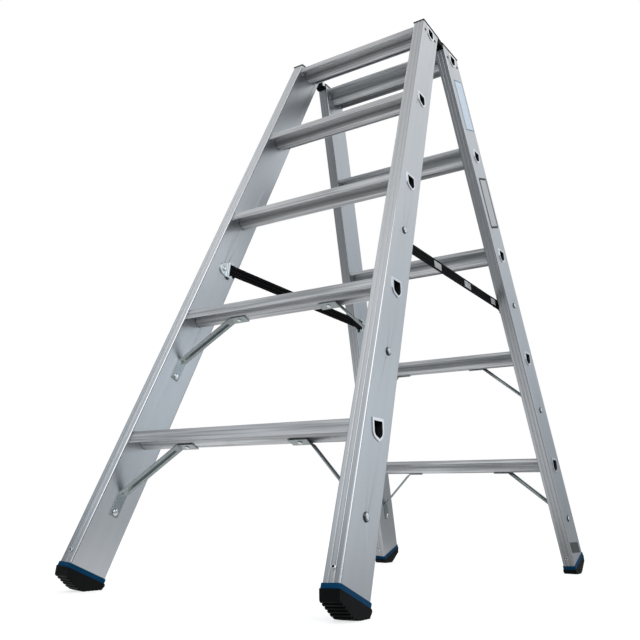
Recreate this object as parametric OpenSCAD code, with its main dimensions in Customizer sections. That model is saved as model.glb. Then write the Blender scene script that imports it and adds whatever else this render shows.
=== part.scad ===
/* [Ladder] */
// Distance from one step to the next along the stile
step_pitch = 280; // [240:1:300]
// Distance from the top plane to the middle of the first step along the stile
first_step = 30; // [26:0.5:60]
// Length of stile below the middle of the last step
stile_tail = 238; // [200:1:300]
// Lean of each section from upright when the ladder stands open
lean = 20.5; // [16:0.5:24]
// Sideways splay of each stile in the plane of its section
splay = 3.3; // [2:0.1:5]
// Half of the outer width across the stiles at the top
half_top = 209.5; // [180:0.5:260]
// Height of the section origin above the end of its stile, measured to the floor
foot_drop = 33; // [30:0.5:40]

/* [Stile] */
// Depth of the stile across its cheeks
stile_depth = 86; // [80:1:96]
// Width of the stile across its narrow faces
stile_width = 29; // [26:0.5:34]
// Wall of the stile
stile_wall = 2; // [1.5:0.1:2.5]
// Rounding of the stile edges
stile_round = 3; // [2.5:0.1:4]
// Depth of the lengthwise grooves in the narrow faces
stile_groove = 0.6; // [0.3:0.1:0.8]

/* [Step] */
// Depth of the tread from front lip to back lip
step_depth = 82; // [76:1:86]
// Height of the tread above the middle of the hollow core
step_top = 15.2; // [14:0.1:17]
// Thickness of the tread plate
step_plate = 2.2; // [1.8:0.1:3]
// Thickness of both lips
lip_wall = 2.2; // [1.8:0.1:3]
// Height of the front lip
front_lip = 20.5; // [14:0.5:24]
// Height of the back lip
back_lip = 7.7; // [5:0.1:12]
// Height of the anti-slip ribs
rib_height = 0.9; // [0.5:0.1:1.5]
// Half width of the hollow core
core_half = 15.5; // [13:0.5:17]
// Wall of the hollow core
core_wall = 2; // [1.5:0.1:2.5]
// Distance of the keel face below the middle of the core, along the stile
keel_drop = 14.5; // [13:0.1:16]
// Thickness of the flared rim on the outer cheek
flare_wall = 1.6; // [1:0.1:2.4]
// Overhang of the flared rim around the core
flare_over = 2.5; // [2:0.1:4]

/* [Hinge] */
// Half of the gap between the two sections at the top
hinge_gap = 13.2; // [12:0.1:16]
// Radius of the hinge knuckles
knuckle_radius = 8; // [7:0.1:9]
// Radius of the hinge pin
pin_radius = 4; // [3:0.1:5]
// Thickness of the cap plate on the stile
cap_plate = 3; // [2:0.1:4]
// Overhang of the cap plate around the stile
cap_over = 1; // [0.5:0.1:1.5]
// Width of each outer knuckle
fork_width = 8.4; // [7:0.1:9.5]
// Drop of the cap rivets below the top plane
cap_rivet_drop = 31; // [28:0.5:34]
// Distance of the cap rivets from the middle of the cheek
cap_rivet_side = 27.5; // [26.5:0.1:29]

/* [Foot] */
// Thickness of the collar under the stile end
collar_thick = 7; // [5:0.1:9]
// Overhang of the collar around the stile
collar_over = 1.8; // [1:0.1:3]
// Height of the plug inside the stile
plug_height = 46; // [36:1:60]
// Height of the upright front of the sole above the floor
sole_nose = 27; // [22:1:30]
// Angle of the sloping front of the sole to the floor
sole_slope = 36; // [30:1:42]
// Radius between the slope of the sole and the floor
sole_roll = 45; // [30:1:60]
// Depth of the grooves in the sole
groove_depth = 2; // [1:0.1:2.4]
// Width of the grooves in the sole
groove_width = 3.4; // [2.4:0.1:4]
// Height of the foot pins above the stile end
foot_pin_rise = 20; // [16:0.5:28]

/* [Brace] */
// Distance of the brace and strap fixings below their step, along the stile
fixing_drop = 136; // [120:1:150]
// Distance from the stile to the bend under the step
brace_near = 97; // [80:1:110]
// Distance from the stile to the end of the tab under the step
brace_far = 138; // [130:1:150]
// Width of the brace strip
brace_width = 20; // [16:0.5:24]
// Thickness of the brace strip
brace_thick = 2; // [1.5:0.1:2.5]
// Width of the bead pressed along the brace
bead_width = 9; // [7:0.5:11]
// Height of the bead
bead_rise = 2.6; // [2:0.1:3.2]

/* [Strap] */
// Width of the webbing
strap_width = 25; // [20:0.5:28]
// Thickness of the webbing
strap_thick = 1.5; // [1.2:0.1:2]
// Radius of the rounded end of the strap bracket
bracket_round = 13; // [12:0.5:15]
// Length of the strap bracket from its rivet to its base
bracket_length = 25; // [24:0.5:30]
// Thickness of the strap bracket
bracket_thick = 2.5; // [2:0.1:3]

/* [Fastener] */
// Radius of the large rivet heads
rivet_head = 7.5; // [6:0.1:8.5]
// Radius of the large rivet shanks
rivet_shank = 4; // [3:0.1:4.5]
// Radius of the small rivet heads
small_head = 4; // [3.5:0.1:4.4]
// Radius of the small rivet shanks
small_shank = 2.2; // [1.8:0.1:2.6]
// Running clearance around the hinge pin
pin_clear = 0.05; // [0.02:0.01:0.1]
// Clearance around pieces that sit inside others
fit_clear = 0.1; // [0.05:0.01:0.2]

/* [Hidden] */

alu = [0.76, 0.77, 0.79];
zinc = [0.62, 0.64, 0.66];
black = [0.07, 0.07, 0.08];
blue = [0.05, 0.20, 0.42];
webbing = [0.04, 0.04, 0.05];

FRONT = -1;
REAR = 1;
LEFT = -1;
RIGHT = 1;
last_step = 4;
big = 4000;
lap = 1;
round_facets = 32;

half_depth = stile_depth / 2;
level_depth = half_depth / cos(lean);
top_gap = hinge_gap + level_depth;
end_s = first_step + last_step * step_pitch + stile_tail;
top_z = end_s * cos(lean) + foot_drop;
stile_length = end_s / cos(splay);
foot_y = top_gap + end_s * sin(lean);
pin_z = top_z - knuckle_radius;
strap_s = first_step + (last_step - 2) * step_pitch + fixing_drop;
core_side = -step_top / 5;
curve_pull = 0.6;
curve_parts = 4;
keel_front = core_half / 4;
keel_back = core_half / 2.2;
rib_count = 9;
round_parts = 3;

function step_s(i) = first_step + i * step_pitch;
function along(s) = -s / cos(splay);
function inner_x(s) = half_top + tan(splay) * s - stile_width / cos(splay);
function level(q, ds) = [-(q * cos(lean) + ds * sin(lean)), q * sin(lean) - ds * cos(lean)];
function bend(a, b, c, u) = (1 - u) * (1 - u) * a + 2 * u * (1 - u) * b + u * u * c;
function cross2(a, b) = a[0] * b[1] - a[1] * b[0];
function meet(p, d, q, e) = p + d * cross2(q - p, e) / cross2(d, e);
function arc_pts(c, r, from, to, n) = [
  for (i = [0:n]) c + r * [cos(from + (to - from) * i / n), sin(from + (to - from) * i / n)]
];
function rounded(x0, x1, y0, y1, r, n) = concat(
  arc_pts([x1 - r, y1 - r], r, 0, 90, n),
  arc_pts([x0 + r, y1 - r], r, 90, 180, n),
  arc_pts([x0 + r, y0 + r], r, 180, 270, n),
  arc_pts([x1 - r, y0 + r], r, 270, 360, n)
);
// Shield outline of the core, grown by g, in level coordinates with the back of the step to the right
function shield(g) = let(
  c = core_half + g,
  f = level(keel_front, keel_drop + g),
  k = level(-keel_back, keel_drop + g)
) concat(
  [[c, step_top + g], [-c, step_top + g]],
  [for (i = [0:curve_parts]) bend(
    [-c, core_side],
    [-c, core_side + curve_pull * (f[1] - core_side)],
    f,
    i / curve_parts
  )],
  [for (i = [0:curve_parts]) bend(
    k,
    [c, core_side + curve_pull * (k[1] - core_side)],
    [c, core_side],
    i / curve_parts
  )]
);
// Shield outline of the hollow, whose top lies under the tread plate
function hollow() = [
  for (p = shield(-core_wall)) [p[0], min(p[1], step_top - rib_height - step_plate)]
];

module flip_x(on) {
  if (on) mirror([1, 0, 0]) children();
  else children();
}
module flip_y(on) {
  if (on) mirror([0, 1, 0]) children();
  else children();
}
// Frame of one section: Y across the stile depth towards the middle of the ladder, Z up the stile
module section(end) {
  flip_y(end == REAR) translate([0, -top_gap, top_z]) rotate([-lean, 0, 0]) children();
}
// Frame of one stile: X out of its outer cheek, Z up its length
module on_stile(side) {
  flip_x(side == LEFT) translate([half_top, 0, 0]) rotate([0, -splay, 0]) children();
}
// Level frame at a distance down the section
module level_at(s) {
  translate([0, 0, -s]) rotate([lean, 0, 0]) children();
}
module along_x(length) {
  rotate([90, 0, 90]) linear_extrude(height = length, center = true) children();
}
module above_plane(drop) {
  rotate([lean, 0, 0]) translate([-big / 2, -big / 2, -drop]) cube([big, big, big]);
}
module outside(side, from) {
  on_stile(side) translate([from, -big / 2, -big]) cube([big, big, 2 * big]);
}
module disc(x0, x1, r) {
  translate([x0, 0, 0]) rotate([0, 90, 0]) cylinder(h = x1 - x0, r = r, $fn = round_facets);
}
module post(z0, z1, r) {
  translate([0, 0, z0]) cylinder(h = z1 - z0, r = r, $fn = round_facets);
}
module dome(x0, height, r) {
  translate([x0, 0, 0]) rotate([0, 90, 0]) {
    cylinder(h = height / 2, r = r, $fn = round_facets);
    translate([0, 0, height / 2]) cylinder(h = height / 2, r1 = r, r2 = r / 2, $fn = round_facets);
  }
}
function cap_rivet_s(q) = (cap_rivet_drop + q * sin(lean)) / cos(lean);
module at_cap_rivets() {
  for (q = [cap_rivet_side, -cap_rivet_side]) translate([0, -q, along(cap_rivet_s(q))]) children();
}
module at_fixing(s) {
  translate([0, 0, along(s)]) children();
}

// Stile: hollow profile with openings for the step cores and holes for its rivets
module stile_outline() {
  groove_width = 4 * stile_groove;
  difference() {
    polygon(rounded(-stile_width, 0, -half_depth, half_depth, stile_round, round_parts));
    for (third = [1, 2], face = [-half_depth, half_depth])
      translate([-stile_width * third / 3, face])
        square([groove_width, 2 * stile_groove], center = true);
  }
}
// Space inside the stile wall, less a clearance
module stile_inside(clear) {
  wall = stile_wall + clear;
  polygon(rounded(
    wall - stile_width, -wall,
    wall - half_depth, half_depth - wall,
    stile_round - stile_wall, round_parts
  ));
}
module stile(side) {
  difference() {
    on_stile(side) difference() {
      translate([0, 0, -stile_length]) linear_extrude(height = stile_length + stile_depth) stile_outline();
      translate([0, 0, -stile_length - lap]) linear_extrude(height = stile_length + stile_depth + 2 * lap)
        stile_inside(0);
      at_cap_rivets() disc(-stile_width - lap, lap, small_shank + fit_clear);
      for (s = [strap_s, step_s(last_step - 1) + fixing_drop, step_s(last_step) + fixing_drop])
        at_fixing(s) disc(-stile_width - lap, lap, rivet_shank + fit_clear);
      translate([-stile_width / 2, 0, -stile_length + foot_pin_rise]) rotate([90, 0, 0])
        cylinder(h = big, r = small_shank + fit_clear, center = true, $fn = round_facets);
    }
    above_plane(cap_plate);
    for (i = [0:last_step]) level_at(step_s(i))
      translate([side * half_top, 0, 0]) along_x(half_top) polygon(shield(fit_clear));
  }
}

// Step: ribbed tread with two lips and a hollow core, whose flared ends hold the stiles
module step_profile() {
  shift = step_top * tan(lean);
  front = shift - step_depth / 2;
  back = shift + step_depth / 2;
  base = step_top - rib_height;
  rib_pitch = step_depth / rib_count;
  difference() {
    union() {
      translate([front, base - step_plate]) square([step_depth, step_plate]);
      for (i = [0:rib_count - 1]) translate([front + (i + 0.25) * rib_pitch, base - step_plate / 2])
        square([rib_pitch / 2, rib_height + step_plate / 2]);
      polygon([
        [front, base], [front - front_lip * tan(lean), base - front_lip],
        [front - front_lip * tan(lean) + lip_wall, base - front_lip], [front + lip_wall, base]
      ]);
      polygon([
        [back, base], [back - back_lip * tan(lean), base - back_lip],
        [back - back_lip * tan(lean) - lip_wall, base - back_lip], [back - lip_wall, base]
      ]);
      difference() {
        polygon(shield(0));
        translate([-big / 2, base]) square([big, big]);
      }
    }
    polygon(hollow());
  }
}
module core_profile() {
  difference() {
    polygon(shield(0));
    polygon(shield(-core_wall));
  }
}
module step(i) {
  s = step_s(i);
  difference() {
    level_at(s) along_x(2 * inner_x(s) + 4 * stile_width) step_profile();
    outside(LEFT, -stile_width);
    outside(RIGHT, -stile_width);
    if (i >= last_step - 1) for (side = [LEFT, RIGHT]) at_step_rivet(i, side)
      post(-lap, core_wall * 3, small_shank + fit_clear);
  }
  for (side = [LEFT, RIGHT]) {
    difference() {
      level_at(s) translate([side * (inner_x(s) + stile_width / 2), 0, 0])
        along_x(3 * stile_width) core_profile();
      outside(side, flare_wall);
      difference() {
        translate([-big / 2, -big / 2, -big]) cube([big, big, 2 * big]);
        outside(side, -stile_width - lap);
      }
    }
    on_stile(side) at_fixing(s) rotate([lean, 0, 0]) translate([flare_wall / 2, 0, 0])
      along_x(flare_wall) difference() {
        polygon(shield(flare_over));
        polygon(shield(-core_wall));
      }
  }
}

// Brace: bent strip with a pressed bead and a gusset, riveted under the step and to the stile
function brace_path(s) = let(
  top = -(s + keel_drop),
  low_bend = s + fixing_drop - 1.6 * brace_width,
  low_end = s + fixing_drop + rivet_head + lap
) [
  [inner_x(s) - brace_far, top],
  [inner_x(s) - brace_near, top],
  [inner_x(low_bend), -low_bend],
  [inner_x(low_end), -low_end]
];
function unit(v) = v / norm(v);
function side_of(a, b, t) = let(d = unit(b - a)) t * [d[1], -d[0]];
function inset_path(p, t) = let(
  a = side_of(p[0], p[1], t),
  b = side_of(p[1], p[2], t),
  c = side_of(p[2], p[3], t)
) [
  p[0] + a,
  meet(p[0] + a, p[1] - p[0], p[1] + b, p[2] - p[1]),
  meet(p[1] + b, p[2] - p[1], p[2] + c, p[3] - p[2]),
  p[3] + c
];
module strip(points, width) {
  rotate([90, 0, 0]) linear_extrude(height = width, center = true) polygon(points);
}
bead_radius = (bead_width * bead_width / 4 + bead_rise * bead_rise) / (2 * bead_rise);
// Round-backed bead along the sloping run, set down into the strip by a drop
module bead(p, drop) {
  d = unit(p[2] - p[1]);
  up = [-d[1], d[0]];
  near = p[1] - drop * up + bead_width * d;
  far = p[2] - drop * up - bead_width * d;
  fade = 2 * bead_rise * d;
  axis = p[1] + (bead_rise - bead_radius) * up;
  intersection() {
    strip([
      near - lap * up, near, near + fade + bead_rise * up,
      far - fade + bead_rise * up, far, far - lap * up
    ], bead_width);
    translate([axis[0], 0, axis[1]]) rotate([0, atan2(-d[1], d[0]), 0])
      disc(0, norm(p[2] - p[1]), bead_radius - drop);
  }
}
module brace(i, side) {
  s = step_s(i);
  p = brace_path(s);
  n = inset_path(p, brace_thick);
  run = unit(p[2] - p[1]);
  tab = unit(p[3] - p[2]);
  gusset = 0.35 * brace_width;
  difference() {
    flip_x(side == LEFT) difference() {
      union() {
        strip([p[0], p[1], p[2], p[3], n[3], n[2], n[1], n[0]], brace_width);
        bead(p, 0);
        strip([
          n[2] - gusset * run - side_of(p[1], p[2], lap), (p[2] + n[2]) / 2,
          n[2] + gusset * tab - side_of(p[2], p[3], lap)
        ], brace_width / 4);
      }
      bead(p, brace_thick);
    }
    at_step_rivet(i, side) post(-stile_depth, stile_depth, small_shank + fit_clear);
    on_stile(side) at_fixing(s + fixing_drop) disc(-2 * stile_width, 0, rivet_shank + fit_clear);
  }
}
// Point in the middle of the tab under a step, on the keel face
module at_step_rivet(i, side) {
  s = step_s(i);
  translate([side * (inner_x(s) - (brace_near + brace_far) / 2), 0, -(s + keel_drop)]) children();
}
module step_rivet(i, side) {
  at_step_rivet(i, side) {
    post(-brace_thick, core_wall, small_shank);
    post(-1.6 * brace_thick, -brace_thick, small_head);
    post(core_wall, core_wall + brace_thick / 2, small_head);
  }
}

// Through rivet of a brace or strap bracket, with a domed head on the outer cheek
module through_rivet(side, s, grip) {
  on_stile(side) at_fixing(s) {
    disc(-stile_width - grip, 0, rivet_shank);
    dome(0, rivet_shank * 0.8, rivet_head);
    rotate([0, 0, 180]) dome(stile_width + grip, rivet_shank * 0.7, rivet_head * 0.8);
  }
}

// Cap: plate on the cut stile top, two riveted legs inside, and the hinge knuckles
module knuckles(end, x0, x1) {
  foot = hinge_gap + 2 * knuckle_radius * tan(lean);
  flip_y(end == REAR) translate([(x0 + x1) / 2, 0, 0]) along_x(x1 - x0) polygon([
    [0, top_z], [-hinge_gap, top_z], [-foot, pin_z - knuckle_radius], [0, pin_z - knuckle_radius]
  ]);
  translate([x0, 0, pin_z]) disc(0, x1 - x0, knuckle_radius);
}
// Plate against the stile that the knuckles stand on, clear of those of the other section
module hinge_seat(end) {
  foot = hinge_gap + 2 * knuckle_radius * tan(lean);
  face = knuckle_radius + side_clear;
  flip_y(end == REAR) translate([(hinge_in + hinge_out) / 2, 0, 0]) along_x(hinge_out - hinge_in) polygon([
    [-face, top_z], [-hinge_gap, top_z], [-foot, pin_z - knuckle_radius], [-face, pin_z - knuckle_radius]
  ]);
}
hinge_out = half_top - cap_over;
hinge_in = hinge_out - stile_width + cap_over;
side_clear = 0.3;
module cap(end, side) {
  leg_front = core_half * cos(lean) + step_top * sin(lean) + lap + fit_clear;
  leg_back = core_half * cos(lean) + knuckle_radius / 2;
  difference() {
    union() {
      section(end) {
        intersection() {
          on_stile(side) translate([-stile_width - cap_over, -half_depth - cap_over, -stile_depth])
            cube([stile_width + 2 * cap_over, stile_depth + 2 * cap_over, 2 * stile_depth]);
          rotate([lean, 0, 0]) translate([-big / 2, -big / 2, -cap_plate]) cube([big, big, cap_plate]);
        }
        difference() {
          on_stile(side) intersection() {
            translate([0, 0, -big / 2]) linear_extrude(height = big) stile_inside(fit_clear);
            translate([-stile_width, 0, 0]) {
              translate([0, -half_depth, along(cap_rivet_s(cap_rivet_side) + 2 * small_head)])
                cube([stile_width, half_depth - leg_front, stile_depth]);
              translate([0, leg_back, along(cap_rivet_s(-cap_rivet_side) + 2 * small_head)])
                cube([stile_width, half_depth - leg_back, stile_depth]);
            }
          }
          above_plane(cap_plate - lap / 2);
        }
      }
      flip_x(side == LEFT) {
        hinge_seat(end);
        if (end == FRONT) {
          knuckles(end, hinge_in, hinge_in + fork_width);
          knuckles(end, hinge_out - fork_width, hinge_out);
        } else knuckles(end, hinge_in + fork_width + side_clear, hinge_out - fork_width - side_clear);
      }
    }
    section(end) on_stile(side) at_cap_rivets() disc(-stile_width - lap, lap, small_shank + fit_clear);
    flip_x(side == LEFT) translate([0, 0, pin_z])
      disc(hinge_in - lap, hinge_out - fork_width / 2, pin_radius + pin_clear);
  }
}
module hinge_pin(side) {
  flip_x(side == LEFT) translate([0, 0, pin_z]) {
    disc(hinge_in, hinge_out - fork_width / 2 - side_clear, pin_radius);
    disc(hinge_in - pin_radius * 0.7, hinge_in, pin_radius * 1.6);
  }
}
module cap_rivets(end) {
  for (side = [LEFT, RIGHT]) section(end) on_stile(side) at_cap_rivets() {
    disc(-stile_width, 0, small_shank);
    dome(0, small_shank * 0.7, small_head);
    rotate([0, 0, 180]) dome(stile_width, small_shank * 0.7, small_head);
  }
}

// Foot: collar with a plug in the stile, pinned through the narrow faces, and a sole on the floor
module collar(end, side) {
  section(end) on_stile(side) translate([0, 0, -stile_length]) difference() {
    union() {
      translate([0, 0, -collar_thick]) linear_extrude(height = collar_thick) polygon(rounded(
        -stile_width - collar_over, collar_over,
        -half_depth - collar_over, half_depth + collar_over,
        stile_round + collar_over / 2, round_parts
      ));
      translate([0, 0, -lap]) linear_extrude(height = plug_height + lap) stile_inside(fit_clear);
    }
    translate([-stile_width / 2, 0, foot_pin_rise]) rotate([90, 0, 0])
      cylinder(h = big, r = small_shank + fit_clear, center = true, $fn = round_facets);
  }
}
module foot_pins(end) {
  for (side = [LEFT, RIGHT]) section(end) on_stile(side)
    translate([-stile_width / 2, 0, -stile_length + foot_pin_rise]) rotate([0, 0, 90]) {
      disc(-half_depth, half_depth, small_shank);
      dome(half_depth, small_shank * 0.6, small_head);
      rotate([0, 0, 180]) dome(half_depth, small_shank * 0.6, small_head);
    }
}
module sole(end, side) {
  edge = half_depth + collar_over;
  front = level(edge, collar_thick);
  back = level(-edge, collar_thick);
  below = -foot_drop - 2 * collar_thick;
  nose = [front[0], sole_nose - foot_drop];
  nose_round = 2 * groove_depth;
  nose_centre = nose + nose_round * [1, (1 - sin(sole_slope)) / cos(sole_slope)];
  down = [cos(sole_slope), -sin(sole_slope)];
  reach = (sole_nose - sole_roll * (1 - cos(sole_slope))) / sin(sole_slope);
  roll = nose + reach * down + sole_roll * [sin(sole_slope), cos(sole_slope)];
  slope_grooves = 4;
  slope_pitch = reach / slope_grooves;
  roll_grooves = 3;
  floor_grooves = 3;
  floor_pitch = (back[0] - collar_thick - roll[0]) / floor_grooves;
  difference() {
    section(end) on_stile(side) translate([-stile_width / 2, 0, -stile_length]) rotate([lean, 0, 0])
      along_x(stile_width + 2 * collar_over) difference() {
        polygon(concat(
          [front], arc_pts(nose_centre, nose_round, 180, 270 - sole_slope, round_parts),
          arc_pts(roll, sole_roll, 270 - sole_slope, 270, 2 * round_parts),
          [[roll[0], below], [back[0] - collar_thick, below], [back[0] - collar_thick, -foot_drop],
            [back[0] + lap / 2, back[1] - collar_thick / 2], back]
        ));
        for (i = [0:slope_grooves - 1]) translate(nose + (i + 0.75) * slope_pitch * down)
          rotate(-sole_slope) translate([-groove_width / 2, -lap])
            square([groove_width, groove_depth + lap]);
        for (i = [0:roll_grooves - 1]) translate(roll)
          rotate(270 - sole_slope * (1 - (i + 0.7) / roll_grooves))
            translate([sole_roll - groove_depth, -groove_width / 2])
              square([groove_depth + lap, groove_width]);
      }
    translate([-big / 2, -big / 2, -big]) cube([big, big, big]);
    for (i = [0:floor_grooves - 1]) flip_y(end == REAR)
      translate([-big / 2, roll[0] + (i + 0.25) * floor_pitch - foot_y, -lap])
        cube([big, groove_width, groove_depth + lap]);
  }
}

// Strap bracket: plate on the inner cheek with a raised slotted base
slot_near = bracket_length - 4 * bracket_thick;
slot_far = bracket_length - 2.4 * bracket_thick;
bracket_raise = 2 * strap_thick + 0.2 * bracket_thick;
base_half = strap_width / 2 + 3.4 * bracket_thick;
module at_bracket(side) {
  on_stile(side) translate([-stile_width, 0, along(strap_s)]) rotate([lean, 0, 0]) children();
}
module bracket(end, side) {
  t = bracket_thick;
  near = slot_near - t - bracket_raise;
  corner = 2 * bracket_thick;
  section(end) difference() {
    at_bracket(side) difference() {
      intersection() {
        linear_extrude(height = 3 * base_half, center = true) polygon([
          [0, -2 * bracket_round], [0, near], [-bracket_raise, near + bracket_raise],
          [-bracket_raise, bracket_length + lap], [-bracket_raise - t, bracket_length + lap],
          [-bracket_raise - t, near + bracket_raise - t / 2], [-t, near - t / 2], [-t, -2 * bracket_round]
        ]);
        along_x(4 * bracket_round) polygon(concat(
          arc_pts([0, 0], bracket_round, 120, 240, 8),
          arc_pts([bracket_length - corner, corner - base_half], corner, 240, 360, 6),
          arc_pts([bracket_length - corner, base_half - corner], corner, 0, 120, 6)
        ));
      }
      translate([-big / 2, slot_near, -strap_width / 2 - strap_thick])
        cube([big, slot_far - slot_near, strap_width + 2 * strap_thick]);
    }
    on_stile(side) at_fixing(strap_s) disc(-2 * stile_width, lap, rivet_shank + fit_clear);
  }
}

// Strap: webbing band with a sewn loop around the base bar of the bracket at each end
strap_tilt = atan(tan(splay) * cos(lean));
inner_strap_s = strap_s + stile_width * sin(splay);
strap_y = top_gap + inner_strap_s * sin(lean) - (slot_far + bracket_length) / 2;
strap_x = inner_x(inner_strap_s) - bracket_raise - bracket_thick / 2
  - (slot_far + bracket_length) / 2 * tan(splay) * sin(lean);
strap_z = top_z - inner_strap_s * cos(lean);
loop_clear = 0.3;
module strap(side) {
  hx = bracket_thick / 2 + loop_clear;
  hy = (bracket_length - slot_far) / 2 + loop_clear;
  sewn = 2 * strap_width;
  flip_x(side == LEFT) translate([strap_x, 0, strap_z]) rotate([0, -strap_tilt, 0])
    linear_extrude(height = strap_width, center = true) difference() {
      union() {
        square([strap_thick, 2 * (strap_y - hy)], center = true);
        for (end = [FRONT, REAR]) translate([0, end * strap_y]) {
          polygon(rounded(
            -hx - strap_thick, hx + strap_thick, -hy - strap_thick, hy + strap_thick,
            hx, round_parts
          ));
          translate([-strap_thick, end == REAR ? -sewn : 0]) square([2 * strap_thick, sewn]);
        }
      }
      for (end = [FRONT, REAR]) translate([0, end * strap_y])
        polygon(rounded(-hx, hx, -hy, hy, hx / 2, round_parts));
    }
}

module front_left_stile() { color(alu) section(FRONT) stile(LEFT); }
module front_right_stile() { color(alu) section(FRONT) stile(RIGHT); }
module rear_left_stile() { color(alu) section(REAR) stile(LEFT); }
module rear_right_stile() { color(alu) section(REAR) stile(RIGHT); }
module front_step_1() { color(alu) section(FRONT) step(0); }
module front_step_2() { color(alu) section(FRONT) step(1); }
module front_step_3() { color(alu) section(FRONT) step(2); }
module front_step_4() { color(alu) section(FRONT) step(3); }
module front_step_5() { color(alu) section(FRONT) step(4); }
module rear_step_1() { color(alu) section(REAR) step(0); }
module rear_step_2() { color(alu) section(REAR) step(1); }
module rear_step_3() { color(alu) section(REAR) step(2); }
module rear_step_4() { color(alu) section(REAR) step(3); }
module rear_step_5() { color(alu) section(REAR) step(4); }
module front_left_cap() { color(black) cap(FRONT, LEFT); }
module front_right_cap() { color(black) cap(FRONT, RIGHT); }
module rear_left_cap() { color(black) cap(REAR, LEFT); }
module rear_right_cap() { color(black) cap(REAR, RIGHT); }
module left_hinge_pin() { color(zinc) hinge_pin(LEFT); }
module right_hinge_pin() { color(zinc) hinge_pin(RIGHT); }
module front_left_collar() { color(blue) collar(FRONT, LEFT); }
module front_right_collar() { color(blue) collar(FRONT, RIGHT); }
module rear_left_collar() { color(blue) collar(REAR, LEFT); }
module rear_right_collar() { color(blue) collar(REAR, RIGHT); }
module front_left_sole() { color(black) sole(FRONT, LEFT); }
module front_right_sole() { color(black) sole(FRONT, RIGHT); }
module rear_left_sole() { color(black) sole(REAR, LEFT); }
module rear_right_sole() { color(black) sole(REAR, RIGHT); }
module front_upper_left_brace() { color(zinc) section(FRONT) brace(3, LEFT); }
module front_upper_right_brace() { color(zinc) section(FRONT) brace(3, RIGHT); }
module front_lower_left_brace() { color(zinc) section(FRONT) brace(4, LEFT); }
module front_lower_right_brace() { color(zinc) section(FRONT) brace(4, RIGHT); }
module rear_upper_left_brace() { color(zinc) section(REAR) brace(3, LEFT); }
module rear_upper_right_brace() { color(zinc) section(REAR) brace(3, RIGHT); }
module rear_lower_left_brace() { color(zinc) section(REAR) brace(4, LEFT); }
module rear_lower_right_brace() { color(zinc) section(REAR) brace(4, RIGHT); }
module front_left_bracket() { color(zinc) bracket(FRONT, LEFT); }
module front_right_bracket() { color(zinc) bracket(FRONT, RIGHT); }
module rear_left_bracket() { color(zinc) bracket(REAR, LEFT); }
module rear_right_bracket() { color(zinc) bracket(REAR, RIGHT); }
module left_strap() { color(webbing) strap(LEFT); }
module right_strap() { color(webbing) strap(RIGHT); }
module front_cap_rivets() { color(zinc) cap_rivets(FRONT); }
module rear_cap_rivets() { color(zinc) cap_rivets(REAR); }
module brace_rivets(end) {
  for (i = [last_step - 1, last_step], side = [LEFT, RIGHT])
    section(end) through_rivet(side, step_s(i) + fixing_drop, brace_thick);
}
module front_brace_rivets() { color(zinc) brace_rivets(FRONT); }
module rear_brace_rivets() { color(zinc) brace_rivets(REAR); }
module step_rivets(end) {
  for (i = [last_step - 1, last_step], side = [LEFT, RIGHT]) section(end) step_rivet(i, side);
}
module front_step_rivets() { color(zinc) step_rivets(FRONT); }
module rear_step_rivets() { color(zinc) step_rivets(REAR); }
module strap_rivets(end) {
  for (side = [LEFT, RIGHT]) section(end) through_rivet(side, strap_s, bracket_thick);
}
module front_strap_rivets() { color(zinc) strap_rivets(FRONT); }
module rear_strap_rivets() { color(zinc) strap_rivets(REAR); }
module front_foot_pins() { color(zinc) foot_pins(FRONT); }
module rear_foot_pins() { color(zinc) foot_pins(REAR); }

front_left_stile();
front_right_stile();
rear_left_stile();
rear_right_stile();
front_step_1();
front_step_2();
front_step_3();
front_step_4();
front_step_5();
rear_step_1();
rear_step_2();
rear_step_3();
rear_step_4();
rear_step_5();
front_left_cap();
front_right_cap();
rear_left_cap();
rear_right_cap();
left_hinge_pin();
right_hinge_pin();
front_left_collar();
front_right_collar();
rear_left_collar();
rear_right_collar();
front_left_sole();
front_right_sole();
rear_left_sole();
rear_right_sole();
front_upper_left_brace();
front_upper_right_brace();
front_lower_left_brace();
front_lower_right_brace();
rear_upper_left_brace();
rear_upper_right_brace();
rear_lower_left_brace();
rear_lower_right_brace();
front_left_bracket();
front_right_bracket();
rear_left_bracket();
rear_right_bracket();
left_strap();
right_strap();
front_cap_rivets();
rear_cap_rivets();
front_brace_rivets();
rear_brace_rivets();
front_step_rivets();
rear_step_rivets();
front_strap_rivets();
rear_strap_rivets();
front_foot_pins();
rear_foot_pins();
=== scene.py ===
import math

import bpy
from mathutils import Matrix, Vector


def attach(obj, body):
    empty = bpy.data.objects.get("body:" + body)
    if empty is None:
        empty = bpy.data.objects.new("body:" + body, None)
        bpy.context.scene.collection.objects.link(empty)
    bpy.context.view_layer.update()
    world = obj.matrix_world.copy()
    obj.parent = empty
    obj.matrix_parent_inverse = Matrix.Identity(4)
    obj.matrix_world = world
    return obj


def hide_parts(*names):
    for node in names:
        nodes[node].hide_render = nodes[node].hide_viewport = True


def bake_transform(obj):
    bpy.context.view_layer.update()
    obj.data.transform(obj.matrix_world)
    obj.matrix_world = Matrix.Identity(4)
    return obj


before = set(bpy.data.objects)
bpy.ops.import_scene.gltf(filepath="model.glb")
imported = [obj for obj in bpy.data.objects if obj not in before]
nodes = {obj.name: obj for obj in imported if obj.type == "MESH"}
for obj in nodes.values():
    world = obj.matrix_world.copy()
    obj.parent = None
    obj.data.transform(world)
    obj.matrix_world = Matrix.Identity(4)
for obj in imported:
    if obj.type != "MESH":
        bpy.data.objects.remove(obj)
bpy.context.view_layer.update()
scene = bpy.context.scene
scene.view_settings.view_transform = "Standard"
print("frame loaded:", len(nodes), "nodes")

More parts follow.
